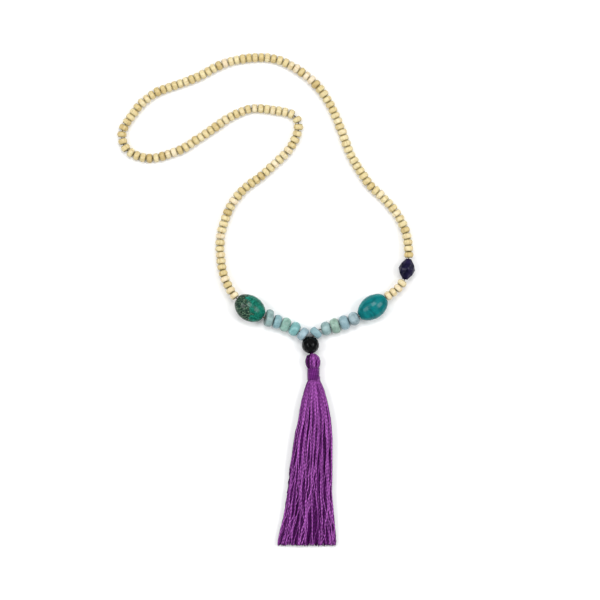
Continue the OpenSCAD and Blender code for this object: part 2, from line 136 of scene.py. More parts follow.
def turned(profile, sides):
    """Closed ring of profile rows (radius, height) turned round Z: points and quads."""
    profile = np.asarray(profile, float)
    n = len(profile)
    angle = np.arange(sides) * 2 * math.pi / sides
    radius = profile[:, 0][:, None]
    points = np.stack([
        radius * np.cos(angle), radius * np.sin(angle),
        np.repeat(profile[:, 1][:, None], sides, 1)], -1).reshape(-1, 3)
    i, j = np.meshgrid(np.arange(n), np.arange(sides), indexing="ij")
    a = i * sides + j
    b = i * sides + (j + 1) % sides
    c = ((i + 1) % n) * sides + (j + 1) % sides
    d = ((i + 1) % n) * sides + j
    return points, np.stack([a, b, c, d], -1).reshape(-1, 4)


# Materials

def material(name):
    mat = bpy.data.materials.new(name)
    mat.use_nodes = True
    nt = mat.node_tree
    return mat, nt, nt.nodes["Principled BSDF"]


def ramp(nt, source, stops):
    n = nt.nodes.new("ShaderNodeValToRGB")
    while len(n.color_ramp.elements) < len(stops):
        n.color_ramp.elements.new(0.5)
    for element, (place, colour) in zip(n.color_ramp.elements, stops):
        element.position = place
        element.color = (*colour, 1.0)
    nt.links.new(source, n.inputs["Fac"])
    return n.outputs["Color"]


def mix(nt, factor, a, b, kind="MIX"):
    n = nt.nodes.new("ShaderNodeMix")
    n.data_type = "RGBA"
    n.blend_type = kind
    n.clamp_factor = True
    for socket, value in ((n.inputs["Factor"], factor), (n.inputs["A"], a), (n.inputs["B"], b)):
        if isinstance(value, bpy.types.NodeSocket):
            nt.links.new(value, socket)
        elif isinstance(value, (tuple, list)):
            socket.default_value = (*value, 1.0)
        else:
            socket.default_value = value
    return n.outputs["Result"]


def math_node(nt, kind, a, b=None, c=None):
    n = nt.nodes.new("ShaderNodeMath")
    n.operation = kind
    for k, value in enumerate((a, b, c)):
        if value is None:
            continue
        if isinstance(value, bpy.types.NodeSocket):
            nt.links.new(value, n.inputs[k])
        else:
            n.inputs[k].default_value = value
    return n.outputs[0]


def attribute(nt, name, output="Fac"):
    n = nt.nodes.new("ShaderNodeAttribute")
    n.attribute_name = name
    return n.outputs[output]


def bump(nt, shader, height, strength, distance):
    n = nt.nodes.new("ShaderNodeBump")
    n.inputs["Strength"].default_value = strength
    n.inputs["Distance"].default_value = distance
    nt.links.new(height, n.inputs["Height"])
    nt.links.new(n.outputs["Normal"], shader.inputs["Normal"])


def noise(nt, vector, scale, detail=4.0, rough=0.55, distortion=0.0):
    n = nt.nodes.new("ShaderNodeTexNoise")
    n.inputs["Scale"].default_value = scale
    n.inputs["Detail"].default_value = detail
    n.inputs["Roughness"].default_value = rough
    n.inputs["Distortion"].default_value = distortion
    nt.links.new(vector, n.inputs["Vector"])
    return n.outputs["Fac"]


def scaled(nt, vector, scale):
    n = nt.nodes.new("ShaderNodeMapping")
    n.inputs["Scale"].default_value = scale
    nt.links.new(vector, n.inputs["Vector"])
    return n.outputs["Vector"]


def wood_material():
    mat, nt, shader = material("wood")
    own = attribute(nt, "own", "Vector")
    tone = attribute(nt, "tone")
    grain = noise(nt, scaled(nt, own, (900.0, 900.0, 130.0)), 1.0, 5.0, 0.62, 0.4)
    cloud = noise(nt, own, 260.0, 3.0, 0.5)
    pale = ramp(nt, tone, [(0.0, (0.51, 0.385, 0.15)), (0.35, (0.64, 0.525, 0.255)),
        (0.7, (0.735, 0.64, 0.375)), (1.0, (0.80, 0.70, 0.52))])
    streak = ramp(nt, grain, [(0.36, (0.72, 0.62, 0.46)), (0.52, (1.0, 1.0, 1.0)),
        (0.7, (1.06, 1.04, 0.98))])
    colour = mix(nt, 0.75, pale, streak, "MULTIPLY")
    patch = ramp(nt, cloud, [(0.35, (0.86, 0.78, 0.62)), (0.6, (1.0, 1.0, 1.0))])
    colour = mix(nt, 0.6, colour, patch, "MULTIPLY")
    # Painted shade: dark olive towards each bead's faces, where it meets its neighbours, and into its bore
    edge = attribute(nt, "edge")
    colour = mix(nt, edge, colour, (0.2, 0.15, 0.035))
    nt.links.new(colour, shader.inputs["Base Color"])
    shader.inputs["Roughness"].default_value = 0.52
    shader.inputs["Subsurface Weight"].default_value = 0.12
    shader.inputs["Subsurface Radius"].default_value = (0.0012, 0.0008, 0.0004)
    bump(nt, shader, grain, 0.35, 0.00006)
    return mat


# Wood beads: the string's beads as one piece, each on its own axis

def bead_profile(length, radius, arc, fillet, bore, dome):
    """Turned bead: hole, slightly domed faces, rounded corners and a rim that is an arc."""
    half = length / 2
    face_stops = (0.0, 0.35, 0.7)
    corner_steps = 6
    rim_steps = 9
    centre = radius - arc
    corner = centre + math.sqrt((arc - fillet) ** 2 - (half - fillet) ** 2)
    turn = math.atan2(half - fillet, corner - centre)
    upper = []
    for share in face_stops:
        x = bore + LIP + share * (corner - bore - LIP)
        upper.append((x, half - dome * share ** 2))
    for k in range(corner_steps):
        share = k / (corner_steps - 1)
        a = math.pi / 2 + (turn - math.pi / 2) * share
        rise = (fillet + dome * (1 - share)) * math.sin(a) + dome * share / 2
        upper.append((corner + fillet * math.cos(a), half - dome - fillet + rise))
    rim = [(centre + arc * math.cos(a), arc * math.sin(a))
        for a in np.linspace(turn, -turn, rim_steps)[1:-1]]
    upper = [(x, min(z, half)) for x, z in upper]
    lower = [(x, -z) for x, z in reversed(upper)]
    return [(bore, -half + LIP), (bore, half - LIP)] + upper + rim + lower


def gap_shade_shares(local, length, rise, bore_reach, bore_most):
    """How much painted shade a bead's skin gets towards its faces, where it meets its neighbours, and
    towards its bore. rise: the share of the half length where the first begins, and the share over which it
    grows."""
    face_shade = np.clip((np.abs(local[:, 2]) / (length / 2) - rise[0]) / rise[1], 0, 1) ** 1.5
    inner = np.clip(bore_most - np.hypot(local[:, 0], local[:, 1]) / bore_reach, 0, 1)
    return face_shade, inner


# Wood beads: length added to the CAD bead, rim arc, corner fillet, bore radius and dome of a face
WOOD_GROWN = 0.13 * MM
WOOD_ARC = 2.1 * MM
WOOD_FILLET = 0.2 * MM
WOOD_BORE = 0.72 * MM
WOOD_DOME = 0.02 * MM
WOOD_SIDES = 26
# Tone of a bead, from 0, tan, to 1, cream: mean and spread, then the share of dark ones and their
# least and most
WOOD_TONE = (0.62, 0.2)
WOOD_DARK = (0.1, 0.1, 0.35)


def build_wood():
    all_points, all_faces, own, tone, edge = [], [], [], [], []
    start = 0
    for points in loose_solids("wood_beads"):
        middle, length, radius, axes = bead_axes(points)
        profile = bead_profile(length + WOOD_GROWN, radius, WOOD_ARC, WOOD_FILLET, WOOD_BORE, WOOD_DOME)
        local, faces = turned(profile, WOOD_SIDES)
        angle = np.arctan2(local[:, 1], local[:, 0])
        uneven = 1 + 0.012 * np.cos(angle + rng.uniform(0, ANY_START))
        uneven = uneven + 0.010 * np.cos(2 * angle + rng.uniform(0, ANY_START))
        shape = local.copy()
        shape[:, :2] *= uneven[:, None]
        world = middle + shape @ axes
        all_points.append(world)
        all_faces.append(faces + start)
        start += len(local)
        own.append(local + rng.uniform(-1, 1, 3))
        value = np.clip(rng.normal(*WOOD_TONE), 0.0, 1.0)
        if rng.random() < WOOD_DARK[0]:
            value = rng.uniform(*WOOD_DARK[1:])
        tone.append(np.full(len(local), value))
        # Painted shade between beads and in the bore
        face_shade, inner = gap_shade_shares(local, length, (0.68, 0.3), 0.9 * MM, 1.6)
        edge.append(np.clip(0.85 * face_shade + inner, 0, 1))
    mesh = make_mesh("wood_string", np.vstack(all_points), np.vstack(all_faces))
    add_vectors(mesh, "own", np.vstack(own))
    add_floats(mesh, "tone", np.concatenate(tone))
    add_floats(mesh, "edge", np.concatenate(edge))
    obj = make_object("wood_string", mesh)
    mesh.materials.append(wood_material())
    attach(obj, "root")
    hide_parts("wood_beads")


build_wood()


# Frosted rondelles, each turned on its own axis: the same sizes as for wood, then the colours

FROSTED_GROWN = 0.08 * MM
FROSTED_ARC = 3.05 * MM
FROSTED_FILLET = 0.6 * MM
FROSTED_BORE = 0.7 * MM
FROSTED_DOME = 0.05 * MM
FROSTED_SIDES = 64
# Waves of a hand-cut bead are drawn from 0 to this, in radians
FROSTED_START = 6
RONDELLES = {
    "rondelle_l1": (0.28, 0.40, 0.45), "rondelle_l2": (0.18, 0.41, 0.41), "rondelle_l3": (0.22, 0.39, 0.33),
    "rondelle_l4": (0.20, 0.36, 0.39), "rondelle_l5": (0.23, 0.35, 0.34), "rondelle_r1": (0.22, 0.37, 0.41),
    "rondelle_r2": (0.24, 0.37, 0.37), "rondelle_r3": (0.25, 0.39, 0.32), "rondelle_r4": (0.22, 0.35, 0.39),
    "rondelle_r5": (0.26, 0.36, 0.39)}


def frosted_material(name, colour):
    mat, nt, shader = material(name)
    own = attribute(nt, "own", "Vector")
    cloud = noise(nt, own, 330.0, 4.0, 0.55, 0.6)
    fine = noise(nt, own, 2600.0, 3.0, 0.6)
    pale = tuple(min(1.0, c * 1.22 + 0.05) for c in colour)
    deep = tuple(c * 0.72 for c in colour)
    shade = ramp(nt, cloud, [(0.3, deep), (0.5, colour), (0.72, pale)])
    speck = ramp(nt, noise(nt, own, 900.0, 2.0, 0.5), [(0.68, (0.0, 0.0, 0.0)), (0.78, (1.0, 1.0, 1.0))])
    shade = mix(nt, math_node(nt, "MULTIPLY", speck, 0.35), shade, (0.75, 0.82, 0.82))
    # Painted shade: darker towards each rondelle's faces, where it meets its neighbours, and into its bore
    edge = attribute(nt, "edge")
    shade = mix(nt, edge, shade, tuple(c * 0.45 for c in colour))
    nt.links.new(shade, shader.inputs["Base Color"])
    rough = nt.nodes.new("ShaderNodeMapRange")
    rough.inputs["To Min"].default_value = 0.34
    rough.inputs["To Max"].default_value = 0.5
    nt.links.new(cloud, rough.inputs["Value"])
    nt.links.new(rough.outputs["Result"], shader.inputs["Roughness"])
    shader.inputs["Subsurface Weight"].default_value = 0.3
    shader.inputs["Subsurface Radius"].default_value = (0.0012, 0.0016, 0.0017)
    shader.inputs["IOR"].default_value = 1.53
    bump(nt, shader, fine, 0.12, 0.00003)
    return mat


def chipped(angle, axes):
    """Radius shares of the big rondelle: narrow as it lies, with a knob towards the loop."""
    waist = 0.79
    below = 0.2
    above = 0.05
    knob = 0.2
    knob_reach = 0.36
    inward = 0.0 if axes[0][1] > 0 else math.pi
    away = np.arccos(np.clip(np.cos(angle - inward), -1, 1))
    share = waist + below * np.clip(-np.sin(angle), 0, 1) ** 2 + above * np.clip(np.sin(angle), 0, 1) ** 2
    return share + knob * np.exp(-(away / knob_reach) ** 2)


def build_rondelle(name, colour):
    middle, length, radius, axes = bead_axes(node_points(name))
    profile = bead_profile(length + FROSTED_GROWN, radius, FROSTED_ARC, FROSTED_FILLET, FROSTED_BORE,
        FROSTED_DOME)
    local, faces = turned(profile, FROSTED_SIDES)
    angle = np.arctan2(local[:, 1], local[:, 0])
    shape = local.copy()
    wobble = 1 + 0.008 * np.cos(2 * angle + rng.uniform(0, FROSTED_START))
    wobble = wobble + 0.006 * np.cos(3 * angle + rng.uniform(0, FROSTED_START))
    shape[:, :2] *= wobble[:, None]
    if name == "rondelle_l5":
        shape[:, :2] *= chipped(angle, axes)[:, None]
    reach = np.hypot(local[:, 0], local[:, 1]) / radius
    shape[:, 2] += 0.05 * MM * np.cos(angle + rng.uniform(0, FROSTED_START)) * reach
    piece = name.replace("rondelle", "frosted")
    mesh = make_mesh(piece, middle + shape @ axes, faces)
    add_vectors(mesh, "own", local + rng.uniform(-1, 1, 3))
    # Painted shade between beads and in the bore
    face_shade, inner = gap_shade_shares(local, length, (0.7, 0.3), 0.85 * MM, 1.7)
    add_floats(mesh, "edge", np.clip(inner + 0.7 * face_shade, 0, 1))
    mesh.materials.append(frosted_material(piece, colour))
    obj = make_object(piece, mesh)
    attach(obj, "root")
    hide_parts(name)


for name, colour in RONDELLES.items():
    build_rondelle(name, colour)


# Copies of a CAD stone, to be dressed

def cad_copy(name, source):
    """A node's mesh as a new object, with its doubled corners welded by its first modifier."""
    mesh = nodes[source].data.copy()
    mesh.name = name
    mesh.materials.clear()
    obj = make_object(name, mesh)
    welded = obj.modifiers.new("weld", "WELD")
    welded.merge_threshold = MERGE
    return obj


def keep_modified(obj, smooth):
    """The object's mesh as its modifiers leave it, and no modifiers."""
    deps = bpy.context.evaluated_depsgraph_get()
    done = bpy.data.meshes.new_from_object(obj.evaluated_get(deps))
    obj.modifiers.clear()
    obj.data = done
    done.polygons.foreach_set("use_smooth", np.full(len(done.polygons), smooth))


def offsets(obj):
    """The corners of a mesh, and where each lies from the middle of its box."""
    co = np.zeros(len(obj.data.vertices) * 3)
    obj.data.vertices.foreach_get("co", co)
    co = co.reshape(-1, 3)
    return co, co - (co.min(0) + co.max(0)) / 2


# Polished nuggets: the CAD stone, made smooth and pebbly

def green_material():
    mat, nt, shader = material("green_stone")
    own = attribute(nt, "own", "Vector")
    parts = nt.nodes.new("ShaderNodeSeparateXYZ")
    nt.links.new(own, parts.inputs[0])
    cloud = noise(nt, own, 170.0, 5.0, 0.6, 0.8)
    fine = noise(nt, own, 620.0, 5.0, 0.65, 1.2)
    # Dark speckled matrix on the left and clear green on the right, with a ragged line between
    across = math_node(nt, "MULTIPLY_ADD", parts.outputs["X"], 190.0, 0.5)
    across = math_node(nt, "ADD", across, math_node(nt, "MULTIPLY_ADD", cloud, 3.0, -1.5))
    across = math_node(nt, "ADD", across, math_node(nt, "MULTIPLY_ADD", fine, 2.4, -1.2))
    clear = ramp(nt, across, [(0.3, (0.0, 0.0, 0.0)), (0.7, (1.0, 1.0, 1.0))])
    emerald = ramp(nt, fine, [(0.33, (0.0, 0.035, 0.022)), (0.46, (0.0, 0.1, 0.065)),
        (0.58, (0.006, 0.19, 0.13)), (0.72, (0.04, 0.3, 0.23))])
    # Thin dark web in the clear green: the edges of warped cells
    cells = nt.nodes.new("ShaderNodeTexVoronoi")
    cells.feature = "DISTANCE_TO_EDGE"
    cells.inputs["Scale"].default_value = 820.0
    warped = nt.nodes.new("ShaderNodeVectorMath")
    warped.operation = "ADD"
    drift = nt.nodes.new("ShaderNodeTexNoise")
    drift.inputs["Scale"].default_value = 500.0
    nt.links.new(own, drift.inputs["Vector"])
    less = nt.nodes.new("ShaderNodeVectorMath")
    less.operation = "SCALE"
    less.inputs["Scale"].default_value = 0.0012
    nt.links.new(drift.outputs["Color"], less.inputs[0])
    nt.links.new(own, warped.inputs[0])
    nt.links.new(less.outputs["Vector"], warped.inputs[1])
    nt.links.new(warped.outputs["Vector"], cells.inputs["Vector"])
    veins = ramp(nt, cells.outputs["Distance"], [(0.03, (1.0, 1.0, 1.0)), (0.16, (0.0, 0.0, 0.0))])
    dark = ramp(nt, fine, [(0.35, (0.001, 0.009, 0.006)), (0.55, (0.004, 0.028, 0.018)),
        (0.7, (0.012, 0.06, 0.04))])
    specks = ramp(nt, noise(nt, scaled(nt, own, (1.0, 1.6, 1.0)), 1150.0, 2.0, 0.5, 0.6),
        [(0.51, (0.0, 0.0, 0.0)), (0.6, (0.85, 0.85, 0.85))])
    matrix = mix(nt, specks, dark, (0.12, 0.2, 0.125))
    where = ramp(nt, cloud, [(0.45, (0.5, 0.5, 0.5)), (0.6, (0.0, 0.0, 0.0))])
    web = math_node(nt, "MULTIPLY", veins, where)
    emerald = mix(nt, web, emerald, (0.004, 0.06, 0.04))
    colour = mix(nt, clear, matrix, emerald)
    nt.links.new(colour, shader.inputs["Base Color"])
    shader.inputs["Roughness"].default_value = 0.24
    shader.inputs["IOR"].default_value = 1.28
    bump(nt, shader, fine, 0.06, 0.00004)
    return mat


def teal_material():
    mat, nt, shader = material("teal_stone")
    own = attribute(nt, "own", "Vector")
    cloud = noise(nt, own, 120.0, 5.0, 0.55, 1.0)
    fine = noise(nt, own, 700.0, 4.0, 0.6)
    colour = ramp(nt, cloud, [(0.3, (0.0, 0.09, 0.10)), (0.5, (0.0, 0.165, 0.175)),
        (0.7, (0.006, 0.24, 0.24))])
    mottle = ramp(nt, fine, [(0.4, (0.9, 0.94, 0.94)), (0.6, (1.0, 1.0, 1.0))])
    colour = mix(nt, 0.7, colour, mottle, "MULTIPLY")
    winding = noise(nt, own, 210.0, 6.0, 0.6, 2.2)
    vein = ramp(nt, winding, [(0.485, (0.0, 0.0, 0.0)), (0.5, (0.55, 0.55, 0.55)),
        (0.515, (0.0, 0.0, 0.0))])
    colour = mix(nt, vein, colour, (0.0, 0.05, 0.055))
    nt.links.new(colour, shader.inputs["Base Color"])
    shader.inputs["Roughness"].default_value = 0.24
    shader.inputs["IOR"].default_value = 1.28
    bump(nt, shader, fine, 0.05, 0.00004)
    return mat


# Grain of a nugget's new mesh, rounds of smoothing, height of its lumps, and the lumps as
# waves across it: radians a metre along X, Y and Z, and where the wave starts
NUGGET_VOXEL = 0.3 * MM
NUGGET_ROUNDS = 14
NUGGET_LUMP = 0.045 * MM
NUGGET_WAVES = [(310.0, 190.0, 120.0, 1.0), (-170.0, 330.0, 210.0, 2.3), (120.0, -260.0, 330.0, 0.0)]


def build_nugget(name, source, mat):
    obj = cad_copy(name, source)
    again = obj.modifiers.new("remesh", "REMESH")
    again.mode = "VOXEL"
    again.voxel_size = NUGGET_VOXEL
    soft = obj.modifiers.new("smooth", "SMOOTH")
    soft.factor = 0.5
    soft.iterations = NUGGET_ROUNDS
    keep_modified(obj, True)
    co, off = offsets(obj)
    lumpy = sum(np.sin(off @ np.array([x, y, z]) + begin) for x, y, z, begin in NUGGET_WAVES)
    far = np.linalg.norm(off, axis=1, keepdims=True)
    moved = co + off / far * lumpy[:, None] * NUGGET_LUMP
    obj.data.vertices.foreach_set("co", moved.astype(np.float32).ravel())
    add_vectors(obj.data, "own", off)
    obj.data.update()
    obj.data.materials.append(mat)
    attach(obj, "root")
    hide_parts(source)


build_nugget("green_nugget", "green_stone", green_material())
build_nugget("teal_nugget", "turquoise_stone", teal_material())


# Cut beads: the CAD facets with fine worn edges

def cut_material(name, low, high, rough, ior, grain, relief):
    """Dark glossy stone: grain and relief are the scale and depth of its facets' fine waves."""
    mat, nt, shader = material(name)
    own = attribute(nt, "own", "Vector")
    cloud = noise(nt, own, 300.0, 4.0, 0.6, 0.5)
    colour = ramp(nt, cloud, [(0.35, low), (0.65, high)])
    nt.links.new(colour, shader.inputs["Base Color"])
    shader.inputs["Roughness"].default_value = rough
    shader.inputs["IOR"].default_value = ior
    bump(nt, shader, noise(nt, own, grain, 2.0, 0.5), 1.0, relief)
    return mat


def build_cut(name, source, mat, width):
    obj = cad_copy(name, source)
    bevel = obj.modifiers.new("bevel", "BEVEL")
    bevel.width = width
    bevel.segments = 3
    bevel.limit_method = "ANGLE"
    bevel.angle_limit = math.radians(8)
    bevel.harden_normals = False
    keep_modified(obj, False)
    _, off = offsets(obj)
    add_vectors(obj.data, "own", off)
    obj.data.materials.append(mat)
    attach(obj, "root")
    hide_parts(source)


build_cut("purple_cut", "purple_bead",
    cut_material("purple_stone", (0.002, 0.002, 0.014), (0.016, 0.012, 0.046), 0.12, 1.2,
        420.0, 0.0002),
    0.14 * MM)
build_cut("black_cut", "black_ball",
    cut_material("black_stone", (0.0005, 0.0006, 0.0006), (0.002, 0.003, 0.003), 0.04, 1.25,
        480.0, 0.00022),
    0.1 * MM)


# Tassel. It hangs down the -Y way from its top: u runs down it, v across it to the right.

bind_low, bind_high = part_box("tassel_binding")
tassel_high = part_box("tassel")[1]
AXIS_X = (bind_low.x + bind_high.x) / 2
NECK_Z = (bind_low.z + bind_high.z) / 2
TOP_Y = tassel_high.y
BIND_U = TOP_Y - bind_high.y
BIND_L = bind_high.y - bind_low.y
# The CAD part's sizes of the tassel, and its gap between the binding and the skirt
SKIRT_GAP = 0.13 * MM
SKIRT_Y = bind_low.y - SKIRT_GAP
SKIRT_L = 93.0 * MM
SKIRT_W = 34.0 * MM
SKIRT_H = 7.2 * MM
HEAD_L = 7.8 * MM
HEAD_R = 4.4 * MM
NECK_D = 5.9 * MM

# Station down the skirt, its left and right edges, its top, and how round it still is, as shares
SKIRT_ROWS = np.array([
    [0, -0.1, 0.115, 0.83, 1], [0.03, -0.13, 0.16, 0.89, 0.85], [0.08, -0.173, 0.205, 0.96, 0.5],
    [0.14, -0.216, 0.245, 1, 0.25], [0.23, -0.252, 0.295, 1, 0.08], [0.35, -0.333, 0.323, 0.96, 0],
    [0.5, -0.389, 0.323, 0.9, 0], [0.68, -0.445, 0.31, 0.8, 0], [0.83, -0.502, 0.349, 0.7, 0],
    [0.94, -0.58, 0.378, 0.62, 0], [1, -0.605, 0.39, 0.54, 0]])


def soft_lookup(t, column):
    """The row values at stations t, eased a little so that the skirt's edge has no corners."""
    shifts = (-0.03, -0.015, 0.0, 0.015, 0.03)
    total = 0
    for shift in shifts:
        total = total + np.interp(np.clip(t + shift, 0, 1), SKIRT_ROWS[:, 0], SKIRT_ROWS[:, column])
    return total / len(shifts)


def skirt_shape(t):
    """At stations t: half the skirt's width, its middle from the tassel's axis, and its height."""
    left, right = soft_lookup(t, 1), soft_lookup(t, 2)
    return (right - left) / 2 * SKIRT_W, (right + left) / 2 * SKIRT_W, soft_lookup(t, 3) * SKIRT_H


def waves(t, source, low, high, count=3):
    """A smooth random line over t, about -1 to 1, with from low to high waves in all."""
    total = np.zeros_like(t)
    for _ in range(count):
        total += np.sin(2 * math.pi * source.uniform(low, high) * t + source.uniform(0, 2 * math.pi))
    return total / count


def ridges(a, t):
    """Share of the skirt's height left at a, from -1 to 1 across it: valleys between long locks."""
    r = 0.5 + 0.5 * np.cos(2 * math.pi * (3.1 * a + 0.35 * np.sin(5 * t + 1) + 0.2)) * (0.4 + 0.6 * t)
    q = 0.5 + 0.5 * np.cos(2 * math.pi * (6.3 * a - 0.5 * np.sin(3.5 * t) + 0.6))
    return 1 - t * (0.16 * r + 0.14 * q)


def tubes(paths, radii, sides, turn, squash):
    """Tubes round many paths at once: points, quads, the map (round, along) of each corner, and
    how far each point faces up. Each tube's map starts at a random place along it."""
    map_start = 9 * MM
    least = 1e-9
    n, rings, _ = paths.shape
    step = np.gradient(paths, axis=1)
    step /= np.linalg.norm(step, axis=2, keepdims=True)
    side = np.cross(step, [0.0, 0.0, 1.0])
    side /= np.maximum(np.linalg.norm(side, axis=2, keepdims=True), least)
    up = np.cross(side, step)
    angle = np.arange(sides) * 2 * math.pi / sides
    c, s = np.cos(angle), np.sin(angle) * squash
    ct, st = np.cos(turn)[..., None], np.sin(turn)[..., None]
    x = (ct * c - st * s)[..., None] * radii[:, :, None, None]
    z = (st * c + ct * s)[..., None] * radii[:, :, None, None]
    out = x * side[:, :, None, :] + z * up[:, :, None, :]
    points = paths[:, :, None, :] + out
    lit = out[..., 2] / np.linalg.norm(out, axis=-1)
    base = (np.arange(n) * rings * sides)[:, None, None]
    i = np.arange(rings - 1)[None, :, None] * sides
    j = np.arange(sides)[None, None, :]
    k = (j + 1) % sides
    a, b = base + i + j, base + i + k
    faces = np.stack([a, b, b + sides, a + sides], -1).reshape(-1, 4)
    lengths = np.linalg.norm(np.diff(paths, axis=1), axis=2)
    run = np.concatenate([np.zeros((n, 1)), np.cumsum(lengths, 1)], 1)
    run = run + np.random.default_rng(n).uniform(0, map_start, (n, 1))
    u0 = np.broadcast_to(j / sides, (n, rings - 1, sides))
    u1 = u0 + 1 / sides
    v0 = np.broadcast_to(run[:, :-1, None], u0.shape)
    v1 = np.broadcast_to(run[:, 1:, None], u0.shape)
    corners = np.stack([np.stack([u0, v0], -1), np.stack([u1, v0], -1),
        np.stack([u1, v1], -1), np.stack([u0, v1], -1)], -2).reshape(-1, 2)
    return points.reshape(-1, 3), faces, corners, lit.ravel()


def add_strand_map(mesh, corners):
    layer = mesh.uv_layers.new(name="strand")
    layer.data.foreach_set("uv", corners.astype(np.float32).ravel())


def tube_mesh(name, paths, radii, sides, turn, squash, tone):
    """One mesh of tubes. The tone is one number a tube, or one a ring of each."""
    points, faces, corners, lit = tubes(paths, radii, sides, turn, squash)
    mesh = make_mesh(name, points, faces)
    add_strand_map(mesh, corners)
    each = paths.shape[1] * sides if np.ndim(tone) == 1 else sides
    add_floats(mesh, "tone", np.repeat(tone.ravel(), each))
    # open: painted shade, each tube darker on its sides and underside and lightest on top
    add_floats(mesh, "open", np.clip(0.5 + 0.75 * lit, 0, 1))
    return mesh


def silk_material(name, dark, middle, light, pitch, twist):
    """Twisted silk: the pitch is one turn of its plies, the twist how dark the painted shade in the groove
    between them is. The plies' crests get painted highlights, and the strands' sides and undersides painted
    shade.
    """
    mat, nt, shader = material(name)
    place = nt.nodes.new("ShaderNodeUVMap")
    place.uv_map = "strand"
    parts = nt.nodes.new("ShaderNodeSeparateXYZ")
    nt.links.new(place.outputs["UV"], parts.inputs[0])
    along = math_node(nt, "MULTIPLY", parts.outputs["Y"], 2 * math.pi / pitch)
    phase = math_node(nt, "MULTIPLY_ADD", parts.outputs["X"], 4 * math.pi, along)
    ply = math_node(nt, "ABSOLUTE", math_node(nt, "SINE", math_node(nt, "MULTIPLY", phase, 0.5)))
    fibre = noise(nt, scaled(nt, place.outputs["UV"], (14.0, 420.0, 1.0)), 1.0, 3.0, 0.6)
    tone = attribute(nt, "tone")
    value = math_node(nt, "ADD", tone, math_node(nt, "MULTIPLY_ADD", fibre, 0.5, -0.25))
    colour = ramp(nt, value, [(0.0, dark), (0.5, middle), (1.0, light)])
    # Painted shade in the groove between the plies
    deep = 1 - twist
    groove = ramp(nt, ply, [(0.0, (deep, deep * 0.85, deep)), (0.7, (1.0, 1.0, 1.0))])
    colour = mix(nt, 1.0, colour, groove, "MULTIPLY")
    # Painted highlight along the top of each ply, with painted shade between, down the strand
    crest_highlight_wave = math_node(nt, "MULTIPLY_ADD", math_node(nt, "SINE", along), 0.5, 0.5)
    painted_crest_highlight = ramp(nt, crest_highlight_wave, [(0.1, (0.58, 0.5, 0.6)), (0.85, (1.0, 1.0, 1.0))])
    colour = mix(nt, 1.0, colour, painted_crest_highlight, "MULTIPLY")
    # Painted shade on the sides and undersides of the strands, from their open attribute
    painted_side_shade = ramp(nt, attribute(nt, "open"), [(0.1, (0.2, 0.1, 0.25)), (0.95, (1.0, 1.0, 1.0))])
    colour = mix(nt, 1.0, colour, painted_side_shade, "MULTIPLY")
    nt.links.new(colour, shader.inputs["Base Color"])
    shader.inputs["Roughness"].default_value = 0.4
    shader.inputs["Specular IOR Level"].default_value = 0.36
    shader.inputs["Specular Tint"].default_value = (0.75, 0.2, 0.8, 1.0)
    shader.inputs["Sheen Weight"].default_value = 0.03
    shader.inputs["Sheen Roughness"].default_value = 0.4
    shader.inputs["Sheen Tint"].default_value = (0.8, 0.4, 0.85, 1.0)
    height = math_node(nt, "ADD", ply, math_node(nt, "MULTIPLY", fibre, 0.3))
    bump(nt, shader, height, 0.5, 0.00012)
    return mat


SILK = silk_material("silk", (0.022, 0.0005, 0.034), (0.122, 0.0125, 0.148), (0.52, 0.15, 0.57),
    2.1 * MM, 0.5)


# Share of the skirt's length that its strands reach up under the binding
TUCKED = 0.025
# Least space between a strand and the table
CLEAR = 0.01 * MM


